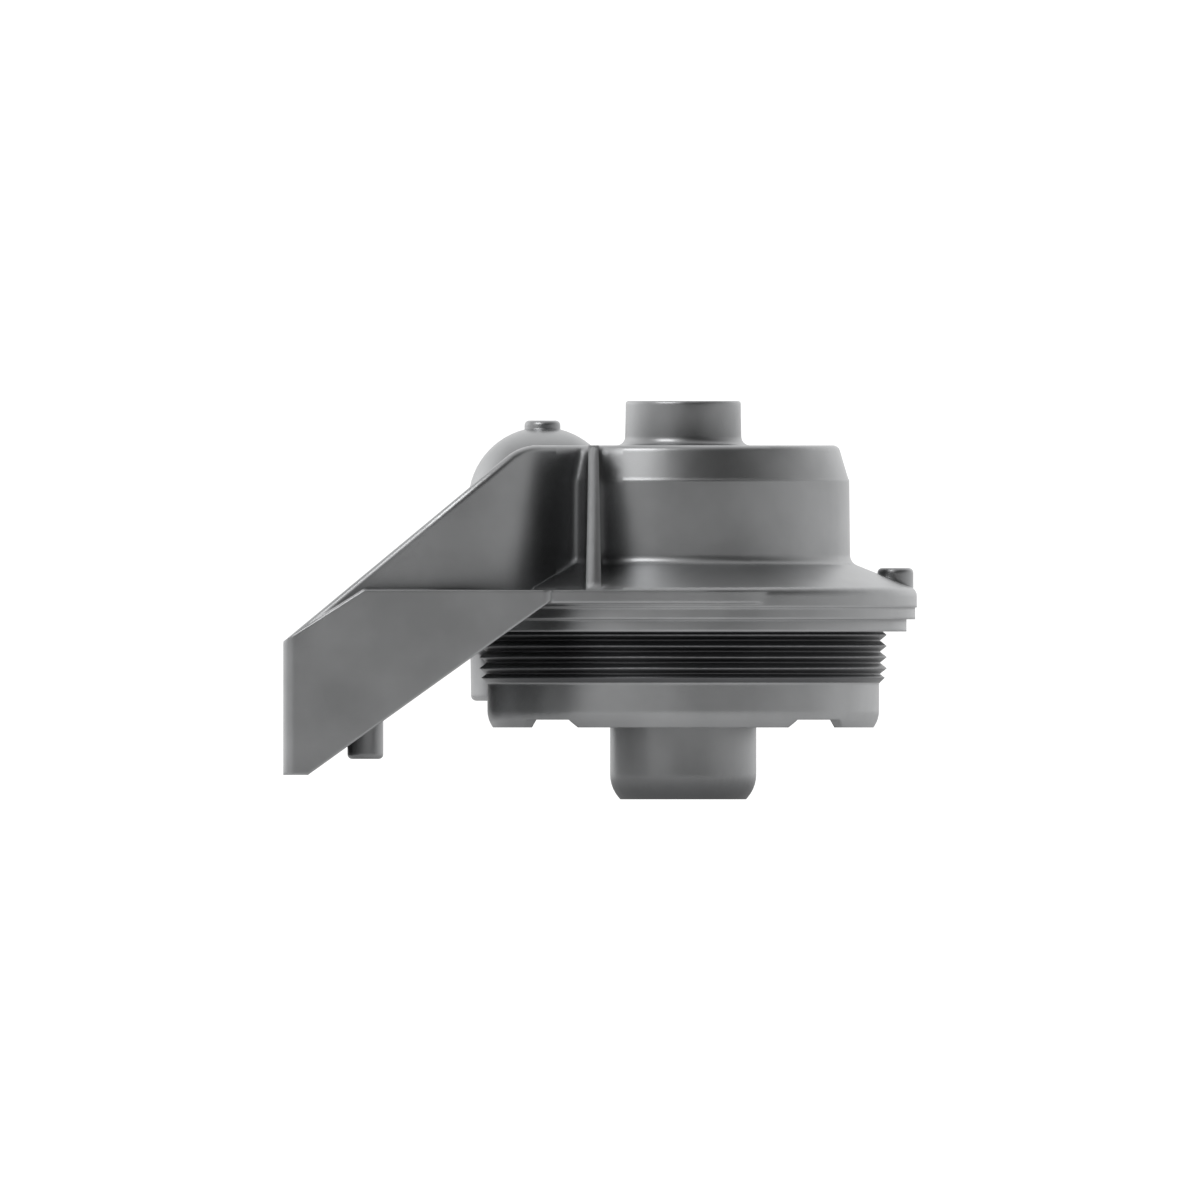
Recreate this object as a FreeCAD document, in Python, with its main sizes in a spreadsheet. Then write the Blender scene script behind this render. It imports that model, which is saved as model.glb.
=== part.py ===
"""Filter head: one aluminium casting with a wall bracket, a bowl thread, a notched skirt, an element
spigot and a side tower that holds the inlet check valve. Sizes are in millimetres. Z points up along
the axis of the bowl thread, and Z = 0 is the seal face under the flange. The bracket is on the -X side
and its bolted face is square to X. The tower stands behind the bracket, on the +Y side."""
import FreeCAD, Part
import math
import os

import Sketcher
from FreeCAD import Vector

doc = FreeCAD.newDocument("filter_head")

# name: (size, what it measures); a height counts from the seal face, and a drop counts down from it
SIZES = {
    # bowl thread, M110 x 3, and the turned ring above it
    "thread_crest": (55.0, "radius over the crests of the bowl thread"),
    "thread_depth": (1.85, "radial depth of the bowl thread"),
    "thread_pitch": (3.0, "pitch of the bowl thread"),
    "thread_turns": (4, "number of turns of the bowl thread"),
    "first_crest": (0.9, "drop of the first crest"),
    "thread_end": (14.0, "drop of the thread's lower end"),
    "ring_step": (5.3, "turned ring beyond the thread's crests"),
    "ring_height": (3.3, "height of the turned ring"),
    # flange and flare
    "flange_step": (2.8, "flange beyond the turned ring, as cast"),
    "turned_step": (0.45, "metal turned off the flange's lower rim"),
    "turned_top": (6.5, "height of the turned rim"),
    "rim_top": (11.4, "height where the flare meets the rim"),
    "rim_round": (2.6, "rounding of the rim"),
    "flare_top": (18.65, "height where the flare meets the dome"),
    "flare_round": (3.0, "fillet between flare and dome"),
    "flange_wall": (5.5, "wall between flare and chamber"),
    # dome
    "dome_radius": (45.1, "radius of the dome at the flare"),
    "dome_draft": (0.25, "how much narrower the dome is under its shoulder"),
    "dome_top": (50.3, "height of the dome's flat top"),
    "shoulder_depth": (9.1, "crease under the shoulder, below the flat top"),
    "shoulder_step": (0.25, "step at that crease"),
    "shoulder_lean": (2.7, "how much narrower the flat top is than the crease"),
    "top_round": (2.0, "rounding of the flat top's edge"),
    "dome_wall": (4.8, "wall of the dome"),
    "roof_wall": (5.0, "thickness of the dome's top"),
    "roof_corner": (3.5, "bevel in the chamber's upper corner"),
    # outlet boss on top
    "outlet_tap": (10.2, "core radius of the outlet's M22 x 1.5 thread"),
    "outlet_tap_depth": (16.0, "depth of the outlet's thread"),
    "outlet_chamfer": (1.2, "chamfer at the outlet's mouth"),
    "outlet_wall": (5.35, "wall round the outlet's thread"),
    "outlet_boss_draft": (0.2, "how much wider the outlet boss is at its foot"),
    "outlet_boss_rise": (12.0, "outlet boss above the flat top"),
    "outlet_boss_edge": (0.8, "rounding of the outlet boss's edge"),
    "outlet_boss_fillet": (2.4, "fillet at the outlet boss's foot"),
    # skirt with its notches
    "skirt_step": (2.1, "skirt inside the thread's crests"),
    "skirt_wall": (4.3, "wall of the skirt"),
    "skirt_drop": (25.9, "drop of the skirt's rim"),
    "skirt_lead": (2.4, "height of the skirt's lead-in"),
    "skirt_lead_depth": (1.5, "how much narrower the skirt is at its rim"),
    "skirt_lead_round": (7.5, "rounding into the skirt's lead-in"),
    "notch_width": (16.2, "width of a notch at its roof"),
    "notch_depth": (2.1, "depth of a notch"),
    "notch_start": (45.0, "angle of the first notch"),
    "notch_count": (4, "number of notches"),
    # element spigot, on the tube that joins it to the outlet
    "spigot_radius": (19.75, "turned outside of the spigot"),
    "spigot_wall": (5.25, "wall of the spigot"),
    "spigot_drop": (45.3, "drop of the spigot's mouth"),
    "spigot_lead": (3.3, "height of the spigot's lead-in"),
    "spigot_lead_depth": (2.75, "how much narrower the spigot is at its mouth"),
    "spigot_lead_round": (9.5, "rounding into the spigot's lead-in"),
    "spigot_turned": (36.0, "turned length above the spigot's mouth"),
    "tube_step": (0.8, "how much wider the tube is as cast"),
    # bracket
    "reach": (108.0, "bolted face from the thread axis"),
    "plate_wall": (9.0, "thickness of the bolted plate"),
    "plate_top": (-2.7, "height of the bolted face's upper edge"),
    "plate_foot": (-38.7, "height of the bolted face's lower edge"),
    "plate_corner": (3.0, "rounding of the bolted plate's corners"),
    "foot_land": (6.7, "flat under the bolted plate"),
    "side_step": (2.9, "side walls beyond the flange"),
    "side_wall": (5.0, "thickness of the side walls"),
    "side_end": (35.0, "end of the side walls from the thread axis"),
    "side_end_rise": (1.1, "lower edge of the side walls at that end above the shelf's underside"),
    "side_end_round": (3.0, "rounding of that end"),
    "shelf_top": (11.2, "height of the shelf"),
    "shelf_wall": (3.5, "thickness of the shelf"),
    "shelf_slope": (21.7, "length of the shelf's sloping end, from the bolted face"),
    "shelf_step": (1.1, "shelf's edge beyond the flange"),
    "shelf_run": (14.0, "how far the shelf's straight edge passes the axis"),
    "shelf_fade": (27.0, "where the shelf runs out into the flange, past the axis"),
    "shelf_fade_step": (7.1, "half width of the shelf there, inside the flange's radius"),
    "shelf_blend": (35.0, "rounding between the shelf's edge and the flange"),
    # hood over the bracket
    "hood_inset": (7.0, "hood inside the side walls' outer faces"),
    "hood_turn": (50.4, "corner where the hood turns in, from the axis"),
    "hood_turn_round": (42.0, "radius of that turn"),
    "hood_angle": (50.0, "angle of that turn"),
    "hood_wall": (4.5, "wall of the hood"),
    "hood_end": (25.0, "where the hood ends inside the dome, from the axis"),
    "hood_knee": (44.0, "corner between the hood's slope and top, from the axis"),
    "hood_knee_round": (13.0, "rounding of that corner"),
    "hood_edge": (1.6, "rounding of the hood's upper edges"),
    "web_wall": (4.0, "thickness of the middle web"),
    "web_drop": (20.0, "web on the bolted plate below the plate's upper edge"),
    "web_skin": (1.0, "how far the web stays under the hood's surface"),
    # gusset in front of the dome
    "gusset_place": (24.2, "middle of the gusset from the axis"),
    "gusset_top": (2.7, "thickness of the gusset at its top"),
    "gusset_foot": (4.3, "thickness of the gusset at its foot"),
    "gusset_inset": (1.0, "front of the gusset's foot inside the hood's side"),
    "gusset_lean": (12.0, "how much nearer the axis the gusset's front is at its top"),
    # valve tower
    "tower_side": (38.0, "tower's axis from the thread axis, towards the bracket"),
    "tower_step": (11.9, "tower's axis beyond the flange, away from the middle plane"),
    "tower_wall": (5.5, "wall round the valve chamber"),
    "tower_draft": (0.7, "how much narrower the tower is at its foot"),
    "tower_foot": (-18.7, "height of the tower's foot"),
    "tower_shoulder": (35.2, "height where the tower's round top starts"),
    "tower_foot_round": (1.5, "rounding of the tower's foot"),
    "inlet_tap": (12.4, "core radius of the inlet's M27 x 2 thread"),
    "inlet_tap_depth": (15.0, "depth of the inlet's thread"),
    "inlet_chamfer": (1.5, "chamfer at the inlet's mouth"),
    "room_step": (2.7, "valve chamber wider than the seat's bore"),
    "room_rise": (4.8, "valve chamber's roof above the tower's shoulder"),
    "duct_height": (29.5, "height of the duct's middle"),
    "duct_bore": (9.0, "bore of the duct"),
    "duct_wall": (4.5, "wall of the duct"),
    "duct_web": (9.0, "thickness of the web under the duct"),
    "duct_break": (1.0, "how far the duct's bore breaks into the chamber"),
    # small cast bosses
    "boss_radius": (4.85, "radius of the small bosses"),
    "boss_edge": (1.3, "rounding of their edges"),
    "tower_boss_rise": (1.8, "boss on the tower above the tower's top"),
    "flare_boss_inset": (5.8, "boss on the flare inside the flange's edge"),
    "flare_boss_rise": (5.8, "boss on the flare above the rim"),
    "side_boss_place": (22.2, "boss under the side wall from the bolted face"),
    "side_boss_rise": (4.3, "that boss's face above the bolted plate's foot"),
    # bolts of the bracket
    "bolt_hole": (5.5, "radius of the bolt holes, for M10 bolts"),
    "bolt_across": (92.0, "distance between the bolt holes"),
    "bolt_pad": (10.0, "radius of the pads round the bolt holes"),
    "bolt_pad_rise": (1.5, "rise of those pads"),
    # check valve
    "seat_clearance": (0.6, "seat and its bore inside the inlet's thread"),
    "seat_length": (9.0, "length of the valve seat and its bore"),
    "seat_wall": (3.8, "wall of the seat"),
    "seat_chamfer": (0.6, "chamfers of the seat"),
    "disc_clearance": (1.2, "poppet's disc inside the seat's bore"),
    "disc_thickness": (2.2, "thickness of the poppet's disc"),
    "disc_gap": (0.05, "rest clearance at each end of the spring and under the disc"),
    "guide_clearance": (0.25, "clearance of the poppet's wings in the throat"),
    "wing_count": (3, "number of the poppet's guide wings"),
    "wing_wall": (1.8, "thickness of a guide wing"),
    "wing_length": (7.5, "length of the guide wings"),
    "hub_radius": (2.4, "radius of the poppet's hub"),
    "spring_radius": (5.9, "mean radius of the spring"),
    "spring_wire": (0.7, "radius of the spring's wire"),
    "spring_turns": (5, "number of spring turns"),
    "spring_runs": (10, "straight runs in each spring turn"),
    "collar_clearance": (0.5, "poppet's collar inside the spring"),
    "pin_clearance": (0.6, "pin in the chamber's roof inside the spring"),
    "collar_height": (3.0, "height of the poppet's collar and of the pin in the roof"),
}


class Size:
    """A number together with the sheet's expression for it, so that plain arithmetic carries both."""

    def __init__(self, number, text):
        self.number = float(number)
        self.text = text

    def __add__(self, other):
        return joined(self, "+", other, self.number + number(other))

    def __radd__(self, other):
        return joined(other, "+", self, number(other) + self.number)

    def __sub__(self, other):
        return joined(self, "-", other, self.number - number(other))

    def __rsub__(self, other):
        return joined(other, "-", self, number(other) - self.number)

    def __mul__(self, other):
        return joined(self, "*", other, self.number * number(other))

    def __rmul__(self, other):
        return joined(other, "*", self, number(other) * self.number)

    def __truediv__(self, other):
        return joined(self, "/", other, self.number / number(other))

    def __neg__(self):
        return joined(0, "-", self, -self.number)


def number(size):
    return size.number if isinstance(size, Size) else float(size)


def text(size):
    return size.text if isinstance(size, Size) else str(size)


def joined(left, sign, right, result):
    return Size(result, f"({text(left)} {sign} {text(right)})")


def tangent(angle):
    return Size(math.tan(math.radians(number(angle))), f"tan({text(angle)} * 1 deg)")


def sine(angle):
    return Size(math.sin(math.radians(number(angle))), f"sin({text(angle)} * 1 deg)")


def cosine(angle):
    return Size(math.cos(math.radians(number(angle))), f"cos({text(angle)} * 1 deg)")


def bearing(across, along):
    """The angle whose tangent is across over along, in degrees."""
    angle = math.degrees(math.atan2(number(across), number(along)))
    return Size(angle, f"(atan({text(across)} / {text(along)}) / 1 deg)")


def hypotenuse(side, other):
    """The length of the line that closes a right angle with these two legs."""
    length = math.hypot(number(side), number(other))
    return Size(length, f"sqrt({text(side)} * {text(side)} + {text(other)} * {text(other)})")


class Dims:
    """The document's sheet of sizes, with one row and one alias for each."""

    def __init__(self):
        sheet = doc.addObject("Spreadsheet::Sheet", "dims")
        for row, (name, (size, meaning)) in enumerate(SIZES.items(), start=1):
            sheet.set(f"A{row}", name)
            sheet.set(f"B{row}", str(size))
            sheet.setAlias(f"B{row}", name)
            sheet.set(f"C{row}", meaning)
            setattr(self, name, Size(size, f"dims.{name}"))
        doc.recompute()


d = Dims()

# sizes that follow from the ones above
RING_RADIUS = d.thread_crest + d.ring_step
FLANGE_RADIUS = RING_RADIUS + d.flange_step
SKIRT_RADIUS = d.thread_crest - d.skirt_step
SKIRT_BORE = SKIRT_RADIUS - d.skirt_wall
SPIGOT_BORE = d.spigot_radius - d.spigot_wall
OUTLET_TOP = d.dome_top + d.outlet_boss_rise
OUTLET_TAP_END = OUTLET_TOP - d.outlet_tap_depth
SIDE_HALF = FLANGE_RADIUS + d.side_step
SHELF_HALF = FLANGE_RADIUS + d.shelf_step
SHELF_UNDERSIDE = d.shelf_top - d.shelf_wall
SHELF_BEND = d.reach - d.shelf_slope
HOOD_HALF = SIDE_HALF - d.hood_inset
SEAT_RADIUS = d.inlet_tap - d.seat_clearance
THROAT = SEAT_RADIUS - d.seat_wall
ROOM_RADIUS = SEAT_RADIUS + d.room_step
ROOM_TOP = d.tower_shoulder + d.room_rise
TOWER_RADIUS = ROOM_RADIUS + d.tower_wall
SEAT_FOOT = d.tower_foot + d.inlet_tap_depth
SEAT_TOP = SEAT_FOOT + d.seat_length
COLLAR_RADIUS = d.spring_radius - d.spring_wire - d.collar_clearance
PIN_RADIUS = d.spring_radius - d.spring_wire - d.pin_clearance
TOWER_X = d.tower_side
TOWER_Y = FLANGE_RADIUS + d.tower_step
TOWER_OUT = hypotenuse(TOWER_X, TOWER_Y)


def bind(thing, **sizes):
    """Binds properties to sizes; a double underscore in a name stands for a dot."""
    for name, size in sizes.items():
        thing.setExpression(name.replace("__", "."), text(size))
    return thing


def new_body(label):
    body = doc.addObject("PartDesign::Body", label)
    body.Label = label
    return body


def origin_plane(body, role):
    return next(part for part in body.Origin.OriginFeatures if part.Role == role)


def place_on(thing, body, role, x=0, y=0, z=0):
    """Attaches a sketch or a primitive to one of its body's origin planes, shifted in that plane's axes."""
    thing.AttachmentSupport = [(origin_plane(body, role), "")]
    thing.MapMode = "FlatFace"
    return bind(thing, AttachmentOffset__Base__x=x, AttachmentOffset__Base__y=y, AttachmentOffset__Base__z=z)


def turn(thing, axis, angle):
    """Turns an attached sketch or primitive about one of its plane's axes, by an angle in degrees."""
    thing.AttachmentOffset = FreeCAD.Placement(
        thing.AttachmentOffset.Base, FreeCAD.Rotation(axis, number(angle))
    )
    return bind(thing, AttachmentOffset__Rotation__Angle=angle)


def new_sketch(body, name, role, **shift):
    return place_on(body.newObject("Sketcher::SketchObject", name), body, role, **shift)


def hold(sketch, label, size, *where):
    """Adds one named dimension to a sketch and binds it to a size."""
    index = sketch.addConstraint(Sketcher.Constraint(*where, number(size)))
    sketch.renameConstraint(index, label)
    return bind(sketch, **{f"Constraints__{label}": size})


def outline(sketch, corners):
    """Draws a closed outline; each corner is (x, y), or (x, y, radius) where it is rounded."""
    points = [Vector(number(corner[0]), number(corner[1]), 0) for corner in corners]
    count = len(points)
    for index in range(count):
        sketch.addGeometry(Part.LineSegment(points[index], points[(index + 1) % count]), False)
    for index in range(count):
        sketch.addConstraint(Sketcher.Constraint("Coincident", index, 2, (index + 1) % count, 1))
    for index, corner in enumerate(corners):
        for axis, size in zip("XY", corner):
            hold(sketch, f"{axis}{index}", size, f"Distance{axis}", -1, 1, index, 1)
    for index, corner in enumerate(corners):
        if len(corner) == 3:
            arc = sketch.GeometryCount
            sketch.fillet(index, 1, number(corner[2]), True, True)
            hold(sketch, f"R{index}", corner[2], "Radius", arc)
    return sketch


def circles(sketch, centres, radius):
    """Draws one circle of the same radius round each centre (x, y)."""
    for index, centre in enumerate(centres):
        middle = Vector(number(centre[0]), number(centre[1]), 0)
        sketch.addGeometry(Part.Circle(middle, Vector(0, 0, 1), number(radius)), False)
        for axis, size in zip("XY", centre):
            hold(sketch, f"{axis}{index}", size, f"Distance{axis}", -1, 1, index, 3)
        hold(sketch, f"R{index}", radius, "Radius", index)
    return sketch


def pad(body, name, sketch, length, both_ways=False):
    feature = body.newObject("PartDesign::Pad", name)
    feature.Profile = (sketch, [""])
    feature.SideType = "Symmetric" if both_ways else "One side"
    return bind(feature, Length=length)


def pocket(body, name, sketch, length, both_ways=False, reversed_way=False):
    feature = body.newObject("PartDesign::Pocket", name)
    feature.Profile = (sketch, [""])
    feature.SideType = "Symmetric" if both_ways else "One side"
    feature.Reversed = reversed_way
    return bind(feature, Length=length)


def revolve(body, name, sketch, kind="Revolution"):
    feature = body.newObject(f"PartDesign::{kind}", name)
    feature.Profile = (sketch, [""])
    feature.ReferenceAxis = (sketch, ["V_Axis"])
    feature.Angle = 360
    return feature


def cylinder(body, name, radius, height, kind="Additive", role="XY_Plane", **shift):
    feature = place_on(body.newObject(f"PartDesign::{kind}Cylinder", name), body, role, **shift)
    return bind(feature, Radius=radius, Height=height)


def near(first, second, slack=0.01):
    return abs(first - number(second)) < slack


def round_edges(body, name, radius, wanted):
    """Fillets the edges of the body's last feature whose middle point passes the test."""
    doc.recompute()
    base = body.Tip
    names = []
    for index, edge in enumerate(base.Shape.Edges, start=1):
        half = (edge.FirstParameter + edge.LastParameter) / 2
        if wanted(edge.valueAt(half), edge.tangentAt(half), edge):
            names.append(f"Edge{index}")
    if not names:
        raise RuntimeError(f"no edge found for {name}")
    feature = body.newObject("PartDesign::Fillet", name)
    feature.Base = (base, names)
    return bind(feature, Radius=radius)


def ring_pattern(body, feature, count):
    """Repeats a feature evenly round the body's own Z axis."""
    pattern = body.newObject("PartDesign::PolarPattern", f"{feature.Name}_ring")
    pattern.Originals = [feature]
    pattern.Axis = (origin_plane(body, "Z_Axis"), [""])
    pattern.Angle = 360
    bind(pattern, Occurrences=count)
    body.Tip = pattern
    return pattern


def bracket_block(head):
    """The lower part of the bracket in the full: bolted plate, side walls and the shelf on top."""
    side = outline(new_sketch(head, "side_view", "XZ_Plane"), [
        (-d.reach, d.plate_foot),
        (d.foot_land - d.reach, d.plate_foot),
        (-d.side_end, SHELF_UNDERSIDE + d.side_end_rise),
        (-d.side_end, d.shelf_top),
        (-SHELF_BEND, d.shelf_top),
        (-d.reach, d.plate_top),
    ])
    pad(head, "bracket_pad", side, SIDE_HALF * 2, both_ways=True)
    round_edges(head, "plate_corners", d.plate_corner, lambda point, way, edge: (
        near(point.x, -d.reach) and near(abs(point.y), SIDE_HALF) and abs(way.z) > 0.9
    ))
    round_edges(head, "side_ends", d.side_end_round, lambda point, way, edge: (
        near(point.x, -d.side_end) and near(abs(point.y), SIDE_HALF)
    ))
    fade_half = FLANGE_RADIUS - d.shelf_fade_step
    shelf = outline(new_sketch(head, "shelf_plan", "XY_Plane", z=SHELF_UNDERSIDE), [
        (-SHELF_BEND, -SHELF_HALF),
        (d.shelf_run, -SHELF_HALF, d.shelf_blend),
        (d.shelf_fade, -fade_half),
        (d.shelf_fade, fade_half),
        (d.shelf_run, SHELF_HALF, d.shelf_blend),
        (-SHELF_BEND, SHELF_HALF),
    ])
    pad(head, "shelf", shelf, d.shelf_wall)


def hood_form(body, inset, back, foot):
    """The hood's form, drawn in from its outside by a wall: turned-in sides under a sloping top."""
    half = HOOD_HALF - inset
    turn_x = d.hood_turn + inset * tangent(d.hood_angle / 2)
    end_half = half - (turn_x - d.hood_end) * tangent(d.hood_angle)
    radius = d.hood_turn_round - inset
    plan = outline(new_sketch(body, "hood_plan", "XY_Plane", z=foot), [
        (-back, -half),
        (-turn_x, -half, radius),
        (-d.hood_end, -end_half),
        (-d.hood_end, end_half),
        (-turn_x, half, radius),
        (-back, half),
    ])
    top = d.dome_top - inset
    pad(body, "hood_pad", plan, top - foot)
    rise = (d.dome_top - d.plate_top) / (d.reach - d.hood_knee)
    drop = inset * hypotenuse(1, rise)
    knee = d.hood_knee + (drop - inset) / rise
    start = d.plate_top - drop
    above = outline(new_sketch(body, "slope_view", "XZ_Plane"), [
        (-d.reach, start),
        (-knee, top, d.hood_knee_round - inset),
        (-d.hood_end, top),
        (-d.hood_end, top + d.dome_top),
        (-d.reach * 2, top + d.dome_top),
        (-d.reach * 2, start),
    ])
    pocket(body, "slope_cut", above, SIDE_HALF * 4, both_ways=True)


def hood(head):
    """The sloping hood between the bracket and the dome, rounded along its upper edges."""
    hood_form(head, 0, d.reach, d.plate_top)
    round_edges(head, "hood_edges", d.hood_edge, lambda point, way, edge: (
        point.z > number(d.shelf_top) + 3 and max(abs(way.y), abs(way.z)) < 0.99 and abs(point.y) > 1
    ))


def bracket_hollow(head):
    """The bracket is open underneath: the space between its side walls, and the core inside the hood."""
    inner = d.reach - d.plate_wall
    fall = (d.shelf_top - d.plate_top) / d.shelf_slope
    view = outline(new_sketch(head, "hollow_view", "XZ_Plane"), [
        (-inner, d.plate_foot - 1),
        (0, d.plate_foot - 1),
        (0, SHELF_UNDERSIDE),
        (-SHELF_BEND, SHELF_UNDERSIDE),
        (-inner, SHELF_UNDERSIDE - (inner - SHELF_BEND) * fall),
    ])
    pocket(head, "bracket_hollow", view, (SIDE_HALF - d.side_wall) * 2, both_ways=True)
    core = new_body("hood_core")
    hood_form(core, d.hood_wall, inner, d.plate_foot)
    doc.recompute()
    cut = head.newObject("PartDesign::Boolean", "hood_hollow")
    cut.Type = "Cut"
    cut.setObjects([core])
    doc.recompute()


def ribs(head):
    """The web in the middle of the hollow bracket, and the gusset in front of the dome."""
    skin = d.dome_top - d.web_skin
    web = outline(new_sketch(head, "web_view", "XZ_Plane"), [
        (d.web_skin - d.reach, d.plate_top - d.web_drop),
        (-FLANGE_RADIUS, d.ring_height),
        (0, d.ring_height),
        (0, skin),
        (-d.hood_knee, skin),
        (d.web_skin - d.reach, d.plate_top - d.web_skin),
    ])
    pad(head, "web", web, d.web_wall, both_ways=True)
    front = HOOD_HALF - d.gusset_inset
    gusset = outline(new_sketch(head, "gusset_view", "XZ_Plane"), [
        (-d.gusset_place - d.gusset_foot / 2, SHELF_UNDERSIDE),
        (d.gusset_foot / 2 - d.gusset_place, SHELF_UNDERSIDE),
        (d.gusset_top / 2 - d.gusset_place, d.dome_top),
        (-d.gusset_place - d.gusset_top / 2, d.dome_top),
    ])
    pad(head, "gusset", gusset, front)
    ahead = outline(new_sketch(head, "gusset_front_view", "YZ_Plane"), [
        (-front, d.shelf_top),
        (d.gusset_lean - front, d.dome_top),
        (d.gusset_lean - front, d.dome_top * 2),
        (-front * 2, d.dome_top * 2),
        (-front * 2, d.shelf_top),
    ])
    pocket(head, "gusset_front", ahead, (d.gusset_place + d.gusset_foot) * 2, both_ways=True)


def turned_form(head):
    """Everything that is round about the bowl's axis, as one solid: boss, dome, flange, skirt, spigot."""
    crest_start = d.thread_crest - d.thread_depth * d.first_crest * 2 / d.thread_pitch
    rim = FLANGE_RADIUS - d.turned_step
    boss = d.outlet_tap + d.outlet_wall
    crease = d.dome_radius - d.dome_draft
    crease_height = d.dome_top - d.shoulder_depth
    view = outline(new_sketch(head, "head_view", "XZ_Plane"), [
        (0, OUTLET_TOP),
        (boss, OUTLET_TOP, d.outlet_boss_edge),
        (boss + d.outlet_boss_draft, d.dome_top, d.outlet_boss_fillet),
        (crease - d.shoulder_step - d.shoulder_lean, d.dome_top, d.top_round),
        (crease - d.shoulder_step, crease_height),
        (crease, crease_height - d.shoulder_step),
        (d.dome_radius, d.flare_top, d.flare_round),
        (FLANGE_RADIUS, d.rim_top, d.rim_round),
        (FLANGE_RADIUS, d.turned_top),
        (rim, d.turned_top),
        (rim, d.ring_height),
        (RING_RADIUS, d.ring_height),
        (RING_RADIUS, 0),
        (crest_start, 0),
        (d.thread_crest, -d.first_crest),
        (d.thread_crest, d.skirt_step - d.thread_end),
        (SKIRT_RADIUS, -d.thread_end),
        (SKIRT_RADIUS, d.skirt_lead - d.skirt_drop, d.skirt_lead_round),
        (SKIRT_RADIUS - d.skirt_lead_depth, -d.skirt_drop),
        (d.spigot_radius, -d.skirt_drop),
        (d.spigot_radius, d.spigot_lead - d.spigot_drop, d.spigot_lead_round),
        (d.spigot_radius - d.spigot_lead_depth, -d.spigot_drop),
        (0, -d.spigot_drop),
    ])
    revolve(head, "turned_form", view)


def tower_shift():
    """The offset of a sketch in the tower's own plane: its local axes are X, Z and -Y."""
    return {"x": -TOWER_X, "z": -TOWER_Y}


def towards_dome(thing):
    """Turns a sketch or a cylinder on the tower's axis so that it points at the dome."""
    return turn(thing, Vector(0, 1, 0), bearing(TOWER_X, TOWER_Y))


def tower(head):
    """The tower behind the bracket, its duct to the dome, and the web that carries the duct."""
    view = outline(new_sketch(head, "tower_view", "XZ_Plane", **tower_shift()), [
        (0, d.tower_foot),
        (TOWER_RADIUS - d.tower_draft, d.tower_foot, d.tower_foot_round),
        (TOWER_RADIUS, d.tower_shoulder),
        (0, d.tower_shoulder),
    ])
    revolve(head, "tower", view)
    crown = place_on(head.newObject("PartDesign::AdditiveSphere", "tower_crown"), head, "XY_Plane",
                     x=-TOWER_X, y=TOWER_Y, z=d.tower_shoulder)
    bind(crown, Radius=TOWER_RADIUS)
    length = TOWER_OUT - d.dome_radius + d.dome_wall / 2
    towards_dome(cylinder(head, "duct", d.duct_bore + d.duct_wall, length, role="XZ_Plane",
                          y=d.duct_height, **tower_shift()))
    web = outline(towards_dome(new_sketch(head, "duct_web_view", "XZ_Plane", **tower_shift())), [
        (-d.duct_web / 2, SHELF_UNDERSIDE),
        (d.duct_web / 2, SHELF_UNDERSIDE),
        (d.duct_web / 2, d.duct_height),
        (-d.duct_web / 2, d.duct_height),
    ])
    pad(head, "duct_web", web, length)


def bosses(head):
    """The three small round bosses: on the tower, on the flare and under the rear side wall."""
    crown = d.tower_shoulder + TOWER_RADIUS / 2
    tower_top = d.tower_shoulder + TOWER_RADIUS + d.tower_boss_rise
    flare_top = d.rim_top + d.flare_boss_rise
    side_foot = d.plate_foot + d.side_boss_rise
    cylinder(head, "tower_boss", d.boss_radius, tower_top - crown, x=-TOWER_X, y=TOWER_Y, z=crown)
    cylinder(head, "flare_boss", d.boss_radius, flare_top - d.turned_top,
             x=FLANGE_RADIUS - d.flare_boss_inset, z=d.turned_top)
    cylinder(head, "side_boss", d.boss_radius, SHELF_UNDERSIDE - side_foot + d.shelf_wall / 2,
             x=d.side_boss_place - d.reach, y=SIDE_HALF - d.boss_radius, z=side_foot)
    round_edges(head, "boss_edges", d.boss_edge, lambda point, way, edge: (
        any(near(point.z, end) for end in (tower_top, flare_top, side_foot))
        and near(edge.Length, d.boss_radius * 2 * math.pi, 0.05)
    ))


def chamber(head):
    """The hollow round the tube, from the dome's roof to the skirt's rim, and the way up to the outlet."""
    fall = (d.flare_top - d.rim_top) / (FLANGE_RADIUS - d.dome_radius)
    drop = d.flange_wall * hypotenuse(1, fall)
    inside = d.dome_radius - d.dome_wall
    roof = d.dome_top - d.roof_wall
    tube = d.spigot_radius + d.tube_step
    turned_end = d.spigot_turned - d.spigot_drop
    below = -d.skirt_drop - 1
    ring = outline(new_sketch(head, "chamber_view", "XZ_Plane"), [
        (SKIRT_BORE, below),
        (SKIRT_BORE, d.flare_top - (SKIRT_BORE - d.dome_radius) * fall - drop),
        (inside, d.flare_top + d.dome_wall * fall - drop),
        (inside, roof - d.roof_corner),
        (inside - d.roof_corner, roof),
        (tube, roof),
        (tube, turned_end),
        (d.spigot_radius, turned_end),
        (d.spigot_radius, below),
    ])
    revolve(head, "chamber", ring, "Groove")
    way_up = outline(new_sketch(head, "outlet_view", "XZ_Plane"), [
        (0, -d.spigot_drop - 1),
        (SPIGOT_BORE, -d.spigot_drop - 1),
        (SPIGOT_BORE, OUTLET_TAP_END + d.outlet_tap - SPIGOT_BORE),
        (d.outlet_tap, OUTLET_TAP_END),
        (d.outlet_tap, OUTLET_TOP - d.outlet_chamfer),
        (d.outlet_tap + d.outlet_chamfer * 2, OUTLET_TOP + d.outlet_chamfer),
        (0, OUTLET_TOP + d.outlet_chamfer),
    ])
    revolve(head, "outlet", way_up, "Groove")


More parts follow.
